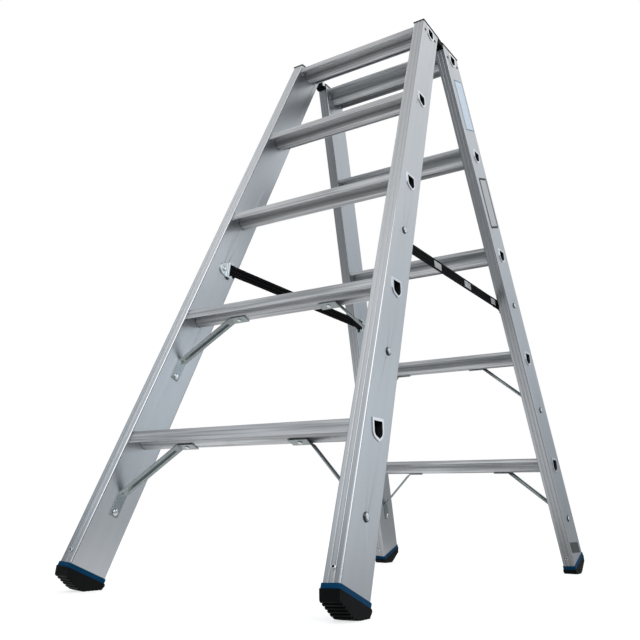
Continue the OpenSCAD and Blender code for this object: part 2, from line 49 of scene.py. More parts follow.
# where the stiles stand, in metres and radians, as the solids have them
ladder = {
    "lean": math.radians(20.5),
    "splay": math.radians(3.3),
    "halfTop": 0.2095,  # middle of the ladder to an outer cheek, at the top
    "topGap": 0.059107,  # middle of the ladder to the middle of a stile's depth, at the top
    "topHeight": 1.33310,
    "stileWidth": 0.029,
    "stileDepth": 0.086,
    "coreHalf": 0.0155,  # half the depth of a step's core
}


# a point on an outer cheek: s down the stile, q to the climbing side, out from the face
def cheekPoint(end, side, s, q, out):
    lean, splay = ladder["lean"], ladder["splay"]
    across = ladder["halfTop"] + math.tan(splay) * s + out / math.cos(splay)
    away = ladder["topGap"] + s * math.sin(lean) + q * math.cos(lean)
    height = ladder["topHeight"] - s * math.cos(lean) + q * math.sin(lean)
    return Vector((side * across, end * away, height))


viewpoint = {
    "place": (0.84822, -1.45462, 0.13469),
    "yaw": -0.57242,
    "pitch": 0.39805,
    "roll": 0.01833,
    "focalPixels": 695.872,
    "centre": (345.94, 219.37),  # pixel that the optical axis meets
    "imageSide": 640,
    "sensor": 36.0,
    "nearest": 0.01,
}


def placeCamera(view):
    yaw, pitch, roll = view["yaw"], view["pitch"], view["roll"]
    ahead = Vector((math.sin(yaw) * math.cos(pitch), math.cos(yaw) * math.cos(pitch), math.sin(pitch)))
    level = Vector((math.cos(yaw), -math.sin(yaw), 0))
    rise = level.cross(ahead)
    right = math.cos(roll) * level + math.sin(roll) * rise
    up = -math.sin(roll) * level + math.cos(roll) * rise
    bpy.ops.object.camera_add(location=view["place"])
    camera = bpy.context.object
    camera.name = "photoCamera"
    for row in range(3):
        for column, axis in enumerate((right, up, -ahead)):
            camera.matrix_world[row][column] = axis[row]
    lens = camera.data
    lens.sensor_width = view["sensor"]
    lens.lens = view["focalPixels"] * view["sensor"] / view["imageSide"]
    lens.shift_x = (view["imageSide"] / 2 - view["centre"][0]) / view["imageSide"]
    lens.shift_y = (view["centre"][1] - view["imageSide"] / 2) / view["imageSide"]
    lens.clip_start = view["nearest"]
    scene.camera = camera


placeCamera(viewpoint)
print("camera placed")


def addNode(tree, kind, place, **settings):
    node = tree.nodes.new(kind)
    node.location = place
    for name, value in settings.items():
        setattr(node, name, value)
    return node


# a number or a colour is set on the socket, and another socket is linked to it
def feed(tree, socket, part):
    if isinstance(part, (int, float, tuple)):
        socket.default_value = part
    else:
        tree.links.new(part, socket)


def joinValues(tree, operation, first, second, place):
    node = addNode(tree, "ShaderNodeMath", place, operation=operation)
    feed(tree, node.inputs[0], first)
    feed(tree, node.inputs[1], second)
    return node.outputs[0]


# two values added, the second with what the first one's share leaves
def weighed(tree, first, share, second, place):
    x, y = place
    return joinValues(tree, "ADD", joinValues(tree, "MULTIPLY", first, share, (x - 190, y + 80)),
                      joinValues(tree, "MULTIPLY", second, 1 - share, (x - 190, y - 80)), place)


def joinVectors(tree, operation, first, place, second=(0, 0, 0), output="Vector"):
    node = addNode(tree, "ShaderNodeVectorMath", place, operation=operation)
    tree.links.new(first, node.inputs[0])
    node.inputs[1].default_value = second
    return node.outputs[output]


def rangeOf(tree, value, place, fromLow, fromHigh, toLow, toHigh, **settings):
    node = addNode(tree, "ShaderNodeMapRange", place, **settings)
    names = ("From Min", "From Max", "To Min", "To Max")
    for name, number in zip(names, (fromLow, fromHigh, toLow, toHigh)):
        node.inputs[name].default_value = number
    tree.links.new(value, node.inputs["Value"])
    return node.outputs["Result"]


# the peak from the end of the rise to the start of the fall, and 0 beyond them
def between(tree, value, place, rise, fall, peak=1):
    x, y = place
    rising = rangeOf(tree, value, (x, y), *rise, 0, peak)
    falling = rangeOf(tree, value, (x, y + 200), *fall, 1, 0)
    return joinValues(tree, "MULTIPLY", rising, falling, (x + 200, y + 100))


def mixParts(tree, kind, factor, first, second, place):
    mix = addNode(tree, "ShaderNodeMix", place, data_type="FLOAT" if kind == "VALUE" else kind)
    tree.links.new(factor, mix.inputs["Factor"])
    for name, part in (("A", first), ("B", second)):
        feed(tree, [s for s in mix.inputs if s.name == name and s.type == kind][0], part)
    return [s for s in mix.outputs if s.type == kind][0]


def mixColours(tree, factor, first, second, place):
    return mixParts(tree, "RGBA", factor, first, second, place)


def mixValues(tree, factor, first, second, place):
    return mixParts(tree, "VALUE", factor, first, second, place)


def axesOf(tree, where, place):
    axes = addNode(tree, "ShaderNodeSeparateXYZ", place)
    tree.links.new(where, axes.inputs[0])
    return axes.outputs


def mapped(tree, source, place, turn=(0, 0, 0), scale=(1, 1, 1)):
    mapping = addNode(tree, "ShaderNodeMapping", place)
    mapping.inputs["Rotation"].default_value = turn
    mapping.inputs["Scale"].default_value = scale
    tree.links.new(source, mapping.inputs["Vector"])
    return mapping.outputs["Vector"]


def noiseOn(tree, vector, place, scale, detail=3.0, rough=0.5):
    noise = addNode(tree, "ShaderNodeTexNoise", place)
    noise.inputs["Scale"].default_value = scale
    noise.inputs["Detail"].default_value = detail
    noise.inputs["Roughness"].default_value = rough
    tree.links.new(vector, noise.inputs["Vector"])
    return noise.outputs["Fac"]


def wavesOn(tree, vector, place, scale, direction):
    wave = addNode(tree, "ShaderNodeTexWave", place, bands_direction=direction)
    wave.inputs["Scale"].default_value = scale
    tree.links.new(vector, wave.inputs["Vector"])
    return wave.outputs["Fac"]


def startFinish(name, metallic=0.0, gloss=0.5):
    finish = bpy.data.materials.new(name)
    finish.use_nodes = True
    tree = finish.node_tree
    shader = tree.nodes["Principled BSDF"]
    shader.inputs["Metallic"].default_value = metallic
    shader.inputs["Specular IOR Level"].default_value = gloss
    return finish, tree, shader


def coat(tree, shader, colour, rough):
    feed(tree, shader.inputs["Base Color"], colour)
    feed(tree, shader.inputs["Roughness"], rough)


# relief of a finish: how deep it is, and how strongly it shades
def addBump(tree, shader, height, place, depth, strength):
    bump = addNode(tree, "ShaderNodeBump", place)
    bump.inputs["Strength"].default_value = strength
    bump.inputs["Distance"].default_value = depth
    tree.links.new(height, bump.inputs["Height"])
    tree.links.new(bump.outputs["Normal"], shader.inputs["Normal"])


studio = {
    "floorSize": 30.0,
    "floorColour": (0.36, 0.36, 0.36, 1),
    "floorRough": 0.9,
    "floorGloss": 0.1,
    "floorLift": 0.70,  # white that the floor adds for the camera
    # painted pools of light: where metal sees that white, under the ladder and behind it, and its share there
    "pools": ({"middle": (-0.6, -0.05, 0), "full": 0.5, "gone": 1.3, "share": 0.85},
              {"middle": (-1.6, 3.0, 0), "full": 0.6, "gone": 1.9, "share": 0.80}),
    "backdrop": 1.0,
    "metalShare": 0.20,  # share of the plain white backdrop in metal
    "tilt": (0, 0.06, 1),  # the room is brighter upwards and behind the ladder
    "skyPeak": 1.27,
    "lowTint": (0.80, 1.0, 1.17),  # cooler towards the floor
    "coolTo": 0.7,  # the place in the sky where that ends
    "sky": ((0.0, 0.06), (0.17, 0.30), (0.27, 0.46), (0.37, 0.58), (0.55, 0.76), (0.61, 0.83), (0.70, 1.0),
            (0.75, 0.98), (0.83, 0.76), (0.92, 0.55), (1.0, 0.5)),
    "lamps": {
        "topLamp": {"place": (-1.4, 2.2, 3.9), "aim": (0, 0, 0.6), "size": 3.4, "watts": 36},
        "sidePanel": {"place": (1.85, 2.1, 0.55), "aim": (0.28, -0.49, 0.19), "size": 1.2, "watts": 1.7,
                      "width": 1.0, "along": (0, 0, 1)},
        "rightPanel": {"place": (2.0, 1.7, 1.75), "aim": (-0.22, -0.25, 0.80), "size": 1.1, "watts": 2.2,
                       "width": 0.8, "along": (0, 0, 1)},
        "lowPanel": {"place": (2.15, 1.45, 0.46), "aim": (-0.26, -0.45, 0.30), "size": 1.1, "watts": 2.4,
                     "width": 1.0, "along": (0, 0, 1), "tint": (0.88, 0.99, 1.08)},
        "fillLamp": {"place": (1.9, -1.6, 1.7), "aim": (0.22, 0, 0.65), "size": 2.4, "watts": 22},
        "nearStrip": {"place": (1.96, -1.32, 1.09), "aim": (0.27, -0.42, 0.35), "size": 1.8, "watts": 0.65,
                      "width": 0.26, "along": (0.90, -1.30, -2.20)},
        "farStrip": {"place": (0.85, -1.25, 1.88), "aim": (-0.25, -0.30, 0.70), "size": 2.6, "watts": 2.1,
                     "width": 0.20, "along": (0.24, -1.37, -2.26)},
    },
}


# 1 for the camera and through clear things, a share of it in metal
def seenShare(tree, share, place):
    x, y = place
    path = addNode(tree, "ShaderNodeLightPath", (x - 600, y)).outputs
    metal = joinValues(tree, "MULTIPLY", path["Is Glossy Ray"], share, (x - 380, y - 150))
    clear = joinValues(tree, "MAXIMUM", path["Is Camera Ray"], path["Is Transmission Ray"], (x - 380, y))
    return joinValues(tree, "MAXIMUM", clear, metal, (x - 180, y))


def makeFloor(values):
    bpy.ops.object.select_all(action="DESELECT")
    bpy.ops.mesh.primitive_plane_add(size=values["floorSize"])
    floor = bpy.context.object
    floor.name = "studioFloor"
    paint, tree, shader = startFinish("studioFloorPaint", gloss=values["floorGloss"])
    coat(tree, shader, values["floorColour"], values["floorRough"])
    where = addNode(tree, "ShaderNodeTexCoord", (-1500, -400)).outputs["Object"]
    share = 0
    for row, pool in enumerate(values["pools"]):
        low = -400 - 300 * row
        away = joinVectors(tree, "DISTANCE", where, (-1300, low), pool["middle"], "Value")
        fade = rangeOf(tree, away, (-1100, low), pool["full"], pool["gone"], pool["share"], 0,
                       interpolation_type="SMOOTHSTEP")
        share = joinValues(tree, "ADD", share, fade, (-900, low))
    seen = seenShare(tree, share, (-250, -200))
    lift = joinValues(tree, "MULTIPLY", seen, values["floorLift"], (-200, -200))
    shader.inputs["Emission Color"].default_value = (1, 1, 1, 1)
    tree.links.new(lift, shader.inputs["Emission Strength"])
    floor.data.materials.append(paint)


# white to the camera; the ladder sees a share of it, and soft boxes high around it in a dimmer room
def makeRoom(values):
    world = bpy.data.worlds.new("studioRoom")
    world.use_nodes = True
    scene.world = world
    tree = world.node_tree
    back = tree.nodes["Background"]
    back.inputs["Strength"].default_value = 1
    where = addNode(tree, "ShaderNodeTexCoord", (-1200, 0)).outputs["Generated"]
    facing = joinVectors(tree, "DOT_PRODUCT", where, (-1000, 0), values["tilt"], "Value")
    sky = addNode(tree, "ShaderNodeValToRGB", (-800, 0))
    stops = sky.color_ramp.elements
    for number, (spot, share) in enumerate(values["sky"]):
        stop = stops[number] if number < len(stops) else stops.new(spot)
        stop.position = spot
        cool = max(0, 1 - spot / values["coolTo"])
        stop.color = [share * (1 + (part - 1) * cool) for part in values["lowTint"]] + [1]
    tree.links.new(facing, sky.inputs["Fac"])
    level = addNode(tree, "ShaderNodeVectorMath", (-520, 0), operation="SCALE")
    level.inputs["Scale"].default_value = values["skyPeak"]
    tree.links.new(sky.outputs["Color"], level.inputs[0])
    seen = seenShare(tree, values["metalShare"], (-350, -250))
    plain = (values["backdrop"],) * 3 + (1,)
    tree.links.new(mixColours(tree, seen, level.outputs[0], plain, (-300, 0)), back.inputs["Color"])


def addLamp(name, lamp):
    bpy.ops.object.light_add(type="AREA", location=lamp["place"])
    light = bpy.context.object
    light.name = name
    light.data.shape = "RECTANGLE" if "width" in lamp else "DISK"
    light.data.size = lamp["size"]
    light.data.size_y = lamp.get("width", lamp["size"])
    light.data.energy = lamp["watts"]
    light.data.color = lamp.get("tint", (1, 1, 1))
    light.visible_camera = False
    aim = (Vector(lamp["aim"]) - Vector(lamp["place"])).normalized()
    length = Vector(lamp.get("along", (1, 0, 0)))
    across = (length - aim * length.dot(aim)).normalized()
    light.rotation_euler = Matrix((across, aim.cross(across) * -1, aim * -1)).transposed().to_euler()


makeFloor(studio)
makeRoom(studio)
for name, lamp in studio["lamps"].items():
    addLamp(name, lamp)
print("studio made")

drawnMetal = {
    "lineShare": 0.35,  # of the lines in the tone, against the bands
    "patches": 9.0,  # dull patches, per metre
    "patchRise": (0.56, 0.74),  # the part of the noise in which they appear
    "patchShare": 0.35,
    "roughLines": 0.6,  # share of the lines in the roughness, against the patches
    "roughRise": (0.35, 0.65),
}
stileMetal = {
    "colour": (0.472, 0.488, 0.506, 1),
    "dull": (0.450, 0.466, 0.484, 1),
    "rough": (0.29, 0.34),
    "lines": (600, 600, 1.3),  # die lines across and along the profile, per metre
    "bands": (70, 70, 0.7),
    "depth": (0.000006, 0.4),  # of the lines, and how strongly they shade
    "streaks": (0.35, 0.65),  # the part of the noise between the dull and the full colour
    "soil": (0.13, 0.12, 0.11, 1),  # dirt on the narrow faces, its share and the heights over which it ends
    "soilShare": 0.32,
    "soilRise": (0.05, 0.14),
    "rubbed": (0.41, 0.42, 0.435, 1),  # the rounded corners
    "rubbedRough": 0.22,
    "cornerRun": (0.0034, 0.0019),  # how far inside a face a corner starts and is full
}
stepMetal = {
    # lighter than the stiles' colour: painted light for the shaded undersides of the steps
    "colour": (0.720, 0.730, 0.744, 1),
    "dull": (0.400, 0.410, 0.424, 1),
    "rough": (0.48, 0.64),
    "lines": (420, 420, 5),
    "bands": (170, 170, 3.5),
    "depth": (0.00008, 0.4),
    "streaks": (0.42, 0.58),
    "lipDarkShare": 0.22,  # how much darker the lip is kept than the painted light on the rest of the step
    "lipFrom": 0.026,  # start of the lip, from the middle of the stile to the climbing side
    "lipFade": 0.006,
    "grooveLift": (0.93, 0.935, 0.94, 1),  # painted light in the groove behind the lip, which lightens the shade there
    "grooveLiftShare": 0.85,
    "grooveFrom": 0.009,
    "grooveFades": (0.006, 0.004),
    "coreShade": 0.45,  # painted shade on the front of the core, behind the lip, on the upper steps
    "coreShadeFrom": (0.50, 0.85),  # heights between which that painted shade comes in
    "coreFrom": 0.003,
    "coreFades": (0.002, 0.003),
    "rubbed": (0.70, 0.71, 0.73, 1),  # the flared rims
    "rubbedRough": 0.17,
    "rimRise": (-0.0006, 0.0002),  # out from the outer cheek
    "shaded": (0.05, 0.05, 0.055, 1),  # inside the core, within the stile
    "shadedFade": 0.001,
}


# distance out from the outer cheek and across from the middle of the stile, alike for all four stiles
def stileFrame(tree, where, place):
    lean, splay = ladder["lean"], ladder["splay"]
    x, y = place
    folded = joinVectors(tree, "ABSOLUTE", where, place)
    origin = Vector((ladder["halfTop"], ladder["topGap"], ladder["topHeight"]))
    outward = Vector((math.cos(splay), -math.sin(splay) * math.sin(lean), math.sin(splay) * math.cos(lean)))
    climbing = Vector((0, math.cos(lean), math.sin(lean)))
    distances = []
    for row, axis in enumerate((outward, climbing)):
        along = joinVectors(tree, "DOT_PRODUCT", folded, (x + 200, y - 150 * row), axis, "Value")
        distances.append(joinValues(tree, "SUBTRACT", along, axis.dot(origin), (x + 400, y - 150 * row)))
    return distances


# dirt low on the narrow faces of a stile, and its rounded corners, which handling keeps bright
def stileWear(tree, where, metal, colour):
    out, across = stileFrame(tree, where, (-1600, 700))
    start, full = metal["cornerRun"]
    middle, face = ladder["stileWidth"] / 2, ladder["stileDepth"] / 2
    beside = joinValues(tree, "ABSOLUTE", joinValues(tree, "ADD", out, middle, (-1000, 700)), 0, (-850, 700))
    beside = rangeOf(tree, beside, (-700, 700), middle - start, middle - full, 0, 1)
    atFace = joinValues(tree, "ABSOLUTE", across, 0, (-850, 550))
    atFace = rangeOf(tree, atFace, (-700, 550), face - start, face - full, 0, 1)
    height = axesOf(tree, where, (-1100, 900))["Z"]
    soiled = rangeOf(tree, height, (-900, 900), *metal["soilRise"], metal["soilShare"], 0)
    soiled = joinValues(tree, "MULTIPLY", soiled, atFace, (-700, 900))
    colour = mixColours(tree, soiled, colour, metal["soil"], (150, 300))
    return colour, joinValues(tree, "MULTIPLY", beside, atFace, (-500, 650))


# painted light in the groove, painted shade on the core of the upper steps and inside the core within the
# stile, a darker lip, and bright flared rims
def stepWear(tree, where, metal, colour):
    out, across = stileFrame(tree, where, (-1600, 700))
    black = (0, 0, 0, 1)
    start, end = metal["grooveFrom"], metal["lipFrom"]
    rise, fall = metal["grooveFades"]
    groove = between(tree, across, (-900, 1100), (start, start + rise), (end, end + fall),
                     metal["grooveLiftShare"])
    colour = mixColours(tree, groove, colour, metal["grooveLift"], (-40, 500))
    start, end = metal["coreFrom"], ladder["coreHalf"]
    rise, fall = metal["coreFades"]
    core = between(tree, across, (-900, 1500), (start, start + rise), (end - fall, end))
    height = axesOf(tree, where, (-1100, 1900))["Z"]
    coreShade = rangeOf(tree, height, (-900, 1900), *metal["coreShadeFrom"], 0, metal["coreShade"])
    coreShade = joinValues(tree, "MULTIPLY", core, coreShade, (-400, 1700))
    colour = mixColours(tree, coreShade, colour, black, (20, 600))
    start = metal["lipFrom"]
    lip = rangeOf(tree, across, (-900, 900), start, start + metal["lipFade"], 0, metal["lipDarkShare"])
    colour = mixColours(tree, lip, colour, black, (80, 400))
    inner = -ladder["stileWidth"]
    inside = rangeOf(tree, out, (-900, 500), inner - metal["shadedFade"], inner, 0, 1)
    colour = mixColours(tree, inside, colour, metal["shaded"], (150, 300))
    return colour, rangeOf(tree, out, (-900, 700), *metal["rimRise"], 0, 1)


# drawn aluminium: fine lines along the profile, broad faint bands, and dull patches from handling
def aluminiumFinish(name, metal, turn, along, wear):
    finish, tree, shader = startFinish(name, metallic=1.0)
    where = addNode(tree, "ShaderNodeTexCoord", (-1600, 0)).outputs["Object"]
    turned = mapped(tree, where, (-1400, 0), turn=turn)

    def drawn(scale, y):
        stretched = scale if along == "z" else tuple(reversed(scale))
        return noiseOn(tree, mapped(tree, turned, (-1150, y), scale=stretched), (-950, y), 1.0)

    lines, bands = drawn(metal["lines"], 300), drawn(metal["bands"], 0)
    patches = noiseOn(tree, where, (-950, -300), drawnMetal["patches"], detail=5.0, rough=0.6)
    tone = weighed(tree, lines, drawnMetal["lineShare"], bands, (-560, 200))
    tone = rangeOf(tree, tone, (-380, 200), *metal["streaks"], 0, 1)
    colour = mixColours(tree, tone, metal["dull"], metal["colour"], (-180, 200))
    worn = rangeOf(tree, patches, (-560, -100), *drawnMetal["patchRise"], 0, drawnMetal["patchShare"])
    colour = mixColours(tree, worn, colour, metal["dull"], (0, 150))
    colour, rubbed = wear(tree, where, metal, colour)
    colour = mixColours(tree, rubbed, colour, metal["rubbed"], (320, 200))
    rough = weighed(tree, lines, drawnMetal["roughLines"], patches, (-560, -320))
    rough = rangeOf(tree, rough, (-380, -300), *drawnMetal["roughRise"], *metal["rough"])
    coat(tree, shader, colour, mixValues(tree, rubbed, rough, metal["rubbedRough"], (150, -250)))
    addBump(tree, shader, lines, (-180, -450), *metal["depth"])
    return finish


zincCoat = {
    "crystals": 420,  # per metre
    "crystalRise": (0.1, 0.9),
    "cloud": 45.0,
    "stainRise": (0.48, 0.72),  # the part of the cloud that is yellowed, and how much
    "stainShare": 0.7,
    "roughRise": (0.3, 0.7),
    "rough": (0.20, 0.34),
    "depth": (0.0002, 0.2),
}
braceZinc = {
    "bright": (0.310, 0.345, 0.352, 1),
    "dull": (0.235, 0.266, 0.273, 1),
    "yellowed": (0.262, 0.284, 0.276, 1),
    "dark": (0.105, 0.124, 0.130, 1),  # painted shade in the groove
    "shadeRun": (-0.122, -0.040),  # its start and end, out from the outer cheek
    "shadeFade": 0.006,
    "grooveHalf": (0.002475, 0.0033),  # where it is full and where it ends, from its middle
}
bracketZinc = {
    "bright": (0.600, 0.655, 0.680, 1),
    "dull": (0.470, 0.520, 0.540, 1),
    "yellowed": (0.500, 0.535, 0.535, 1),
    "dark": (0.180, 0.200, 0.208, 1),  # painted shade on the bent part, which damps its bright reflection
    "shadeRun": (-0.0345, -0.0320),
    "shadeFade": 0.0006,
}


# zinc-plated sheet: small crystals with a faint yellow passivation, and a stretch of painted shade
def zincFinish(name, zinc):
    finish, tree, shader = startFinish(name, metallic=1.0)
    where = addNode(tree, "ShaderNodeTexCoord", (-1200, 0)).outputs["Object"]
    crystals = addNode(tree, "ShaderNodeTexVoronoi", (-950, 150))
    crystals.inputs["Scale"].default_value = zincCoat["crystals"]
    tree.links.new(where, crystals.inputs["Vector"])
    grain = rangeOf(tree, crystals.outputs["Color"], (-740, 150), *zincCoat["crystalRise"], 0, 1)
    cloud = noiseOn(tree, where, (-950, -150), zincCoat["cloud"], detail=4.0)
    colour = mixColours(tree, grain, zinc["dull"], zinc["bright"], (-520, 150))
    stain = rangeOf(tree, cloud, (-740, -150), *zincCoat["stainRise"], 0, zincCoat["stainShare"])
    colour = mixColours(tree, stain, colour, zinc["yellowed"], (-300, 100))
    # a stretch of painted shade: in the groove of a brace, on the bent part of a bracket
    out, across = stileFrame(tree, where, (-1200, 600))
    (start, end), fade = zinc["shadeRun"], zinc["shadeFade"]
    dark = between(tree, out, (-420, 700), (start, start + fade), (end - fade, end))
    if "grooveHalf" in zinc:
        across = joinValues(tree, "ABSOLUTE", across, 0, (-600, 500))
        deep = rangeOf(tree, across, (-420, 500), *zinc["grooveHalf"], 1, 0)
        dark = joinValues(tree, "MULTIPLY", deep, dark, (-220, 500))
    colour = mixColours(tree, dark, colour, zinc["dark"], (-100, 200))
    rough = rangeOf(tree, cloud, (-520, -250), *zincCoat["roughRise"], *zincCoat["rough"])
    coat(tree, shader, colour, rough)
    addBump(tree, shader, cloud, (-300, -300), *zincCoat["depth"])
    return finish


rivet = {
    "bright": (0.78, 0.79, 0.805, 1),
    "dull": (0.50, 0.51, 0.525, 1),
    "rough": (0.10, 0.20),
    "marks": 520.0,  # tool marks per metre
    "markRise": (0.38, 0.62),
    "roughRise": (0.3, 0.7),
    "depth": (0.0002, 0.35),
    "rim": (0.075, 0.083, 0.090, 1),  # painted shade on the flank of a head
    "rimRise": (-0.004, -0.002),  # where it starts and ends, out from the outer cheek
    "rimFall": (0.0020, 0.0029),
}
footPin = {
    # the hole of a foot pin is painted: a dark disc of painted shade
    "holeShade": (0.006, 0.006, 0.006, 1),
    "holeRough": 0.9,
    "holeRadius": (0.0019, 0.00228),  # where the hole is full and where it ends
    "down": 1.36803,  # from the top of the stile, along it
}


# distance from the pin that crosses the stile above each foot
def pinDistance(tree, where, place):
    x, y = place
    climbing = (0, math.cos(ladder["lean"]), math.sin(ladder["lean"]))
    middle = cheekPoint(1, 1, footPin["down"], 0, -ladder["stileWidth"] / 2)
    offset = joinVectors(tree, "SUBTRACT", joinVectors(tree, "ABSOLUTE", where, place), (x + 180, y), middle)
    turned = joinVectors(tree, "CROSS_PRODUCT", offset, (x + 360, y), climbing)
    return joinVectors(tree, "LENGTH", turned, (x + 540, y), output="Value")


# pressed rivet heads: brighter where the tool struck, dull specks elsewhere, painted shade on their flanks,
# and foot pins whose hole is a dark disc of painted shade
def rivetFinish(name, values, hollow):
    finish, tree, shader = startFinish(name, metallic=1.0)
    where = addNode(tree, "ShaderNodeTexCoord", (-1000, 0)).outputs["Object"]
    marks = noiseOn(tree, where, (-800, 0), values["marks"], detail=4.0, rough=0.6)
    struck = rangeOf(tree, marks, (-600, 100), *values["markRise"], 0, 1)
    colour = mixColours(tree, struck, values["dull"], values["bright"], (-350, 100))
    rough = rangeOf(tree, marks, (-600, -200), *values["roughRise"], *values["rough"])
    out = stileFrame(tree, where, (-1200, 900))[0]
    rim = between(tree, out, (-600, 900), values["rimRise"], values["rimFall"])
    colour = mixColours(tree, rim, colour, values["rim"], (-250, 400))
    if hollow:
        away = pinDistance(tree, where, (-1200, 400))
        holeShade = rangeOf(tree, away, (-500, 400), *footPin["holeRadius"], 1, 0)
        colour = mixColours(tree, holeShade, colour, footPin["holeShade"], (-150, 250))
        rough = mixValues(tree, holeShade, rough, footPin["holeRough"], (-350, -100))
    coat(tree, shader, colour, rough)
    addBump(tree, shader, marks, (-350, -250), *values["depth"])
    return finish


mouldGrain = {
    "grain": 1500.0,  # spark grain and scuffs, per metre
    "scuffs": 60.0,
    "scuffRise": (0.55, 0.75),
    "scuffShare": 0.5,
    "floorRise": (0.0, 0.035),  # heights over which the scuffs of the floor end
    "floorShare": 0.55,
    "roughRise": (0.3, 0.7),
    "depth": (0.00015, 0.5),
}
moulded = {
    "capPlastic": {"nodes": "_cap", "rough": (0.46, 0.64), "gloss": 0.06,
                   "base": (0.0015, 0.0015, 0.0017, 1), "scuff": (0.005, 0.005, 0.0055, 1)},
    "collarPlastic": {"nodes": "_collar", "rough": (0.46, 0.60), "gloss": 0.06,
                      "base": (0.0003, 0.042, 0.106, 1), "scuff": (0.002, 0.060, 0.132, 1)},
    "soleRubber": {"nodes": "_sole", "rough": (0.55, 0.75), "gloss": 0.10,
                   "base": (0.0025, 0.0027, 0.0029, 1), "scuff": (0.010, 0.010, 0.010, 1)},
}


# moulded plastic and rubber: fine spark grain, scuffs in patches and more of them near the floor
def mouldedFinish(name, values):
    finish, tree, shader = startFinish(name, gloss=values["gloss"])
    where = addNode(tree, "ShaderNodeTexCoord", (-1300, 0)).outputs["Object"]
    grain = noiseOn(tree, where, (-1050, -300), mouldGrain["grain"], detail=2.0)
    scuffs = noiseOn(tree, where, (-1050, 150), mouldGrain["scuffs"], detail=6.0, rough=0.65)
    height = axesOf(tree, where, (-1050, 400))["Z"]
    low = rangeOf(tree, height, (-850, 400), *mouldGrain["floorRise"], mouldGrain["floorShare"], 0)
    patches = rangeOf(tree, scuffs, (-850, 150), *mouldGrain["scuffRise"], 0, mouldGrain["scuffShare"])
    spots = joinValues(tree, "MULTIPLY", low, scuffs, (-650, 350))
    wear = joinValues(tree, "MAXIMUM", patches, spots, (-480, 250))
    colour = mixColours(tree, wear, values["base"], values["scuff"], (-280, 200))
    rough = rangeOf(tree, scuffs, (-480, -100), *mouldGrain["roughRise"], *values["rough"])
    coat(tree, shader, colour, rough)
    addBump(tree, shader, grain, (-280, -300), *mouldGrain["depth"])
    return finish


def ending(*ends):
    return [name for name in nodes if name.endswith(ends)]


def dress(names, finish):
    for name in names:
        slots = nodes[name].data.materials
        slots.clear()
        slots.append(finish)


steps = [name for name in nodes if "_step_" in name and "rivets" not in name]
for endName, end in (("front", 1), ("rear", -1)):
    for sideName, side in (("left", -1), ("right", 1)):
        upright = (end * ladder["lean"], side * ladder["splay"], 0)
        name = f"{endName}{sideName.title()}StileMetal"
        metal = aluminiumFinish(name, stileMetal, upright, "z", stileWear)
        dress([f"{endName}_{sideName}_stile"], metal)
dress(steps, aluminiumFinish("stepMetal", stepMetal, (0, 0, 0), "x", stepWear))
dress(ending("_brace"), zincFinish("zincBrace", braceZinc))
dress(ending("_bracket"), zincFinish("zincBracket", bracketZinc))
dress(ending("_rivets", "_hinge_pin"), rivetFinish("rivetMetal", rivet, False))
dress(ending("_foot_pins"), rivetFinish("paintedHolePin", rivet, True))
for name, values in moulded.items():
    dress(ending(values["nodes"]), mouldedFinish(name, values))
print("finishes on the solids")

# widths of the broken edges, by what the names of the nodes end with
edges = {
    "_stile": 0.0007,
    "_cap": 0.0006,
    "_collar": 0.0007,
    "_sole": 0.0010,
    "_brace": 0.0003,
    "_bracket": 0.0004,
    "_rivets": 0.0009,
    "_pins": 0.0006,
}
stepEdge = 0.0004
edgeShape = {"merge": 0.00001, "segments": 3, "from": math.radians(40)}


# light on the broken edges of the solids
def breakEdges(names, width):
    for name in names:
        weld = nodes[name].modifiers.new("mergedTriangles", "WELD")
        weld.merge_threshold = edgeShape["merge"]
        bevel = nodes[name].modifiers.new("brokenEdges", "BEVEL")
        bevel.width = width
        bevel.segments = edgeShape["segments"]
        bevel.limit_method = "ANGLE"
        bevel.angle_limit = edgeShape["from"]
        bevel.use_clamp_overlap = True


for end, width in edges.items():
    breakEdges(ending(end), width)
breakEdges(steps, stepEdge)
print("edges broken")

strap = {
    "centre": 0.2172,
    "height": 0.65155,
    "halfSpan": 0.2919,  # middle of each bracket bar
    "tilt": math.atan(math.tan(ladder["splay"]) * math.cos(ladder["lean"])),
    "width": 0.0250,
    "thick": 0.0014,
    "layer": 0.00076,  # middle of a layer from the middle of the sewn pair
    "loop": (0.0023, 0.00405),  # half its width, and its reach past the middle of the bar
    "loopParts": 8,
    "sewn": 0.050,
    "tail": (1, 0.7, 0.4),  # points of the sewn part, as shares of its length
    "mouth": (0.0115, 0.0085, 0.0048, 0.0022),  # where the layers part, before the middle of the bar
    "mouthEase": 0.0004,
    "taper": 0.012,  # from the sewn pair to the single span
    "spanParts": 48,
    "bendHalf": 0.235,  # half the stretch that bends between the sections
    "ribs": 14,
    "ribHeight": 0.00009,
    "smoothTo": math.radians(50),
    "colour": (0.0015, 0.0015, 0.0017, 1),
    "thread": (0.010, 0.010, 0.011, 1),
    "threadTwist": 900,  # turns per metre, roughness and relief of the sewing thread
    "threadRough": 0.6,
    "threadDepth": (0.0002, 0.5),
    "worn": (0.0045, 0.0045, 0.005, 1),
    "tracer": (0.060, 0.062, 0.066, 1),  # thin lighter yarns along the band
    "tracers": 3,
    "tracerRise": (0.38, 0.45),  # half-way between the edges of each third of the band
    "gloss": 0.06,
    "rough": (0.95, 0.72),  # from the low to the high parts of the weave
    "depth": (0.0003, 0.7),
    "pick": 0.0012,  # length of a pick along the band
    "pickRise": 0.5,
    "pickLean": 0.8,
    "ribRise": 0.6,
    "wear": (60, 400, 1),  # worn streaks along and across the band, per metre
    "wearRise": (0.45, 0.75),
    "wearShare": 0.8,
    "stitch": {"length": 0.0030, "width": 0.0007, "pitch": 0.0042, "proud": 0.0004,
               "fromBar": 0.014, "fromEnd": 0.004, "fromSide": 0.0035},
}


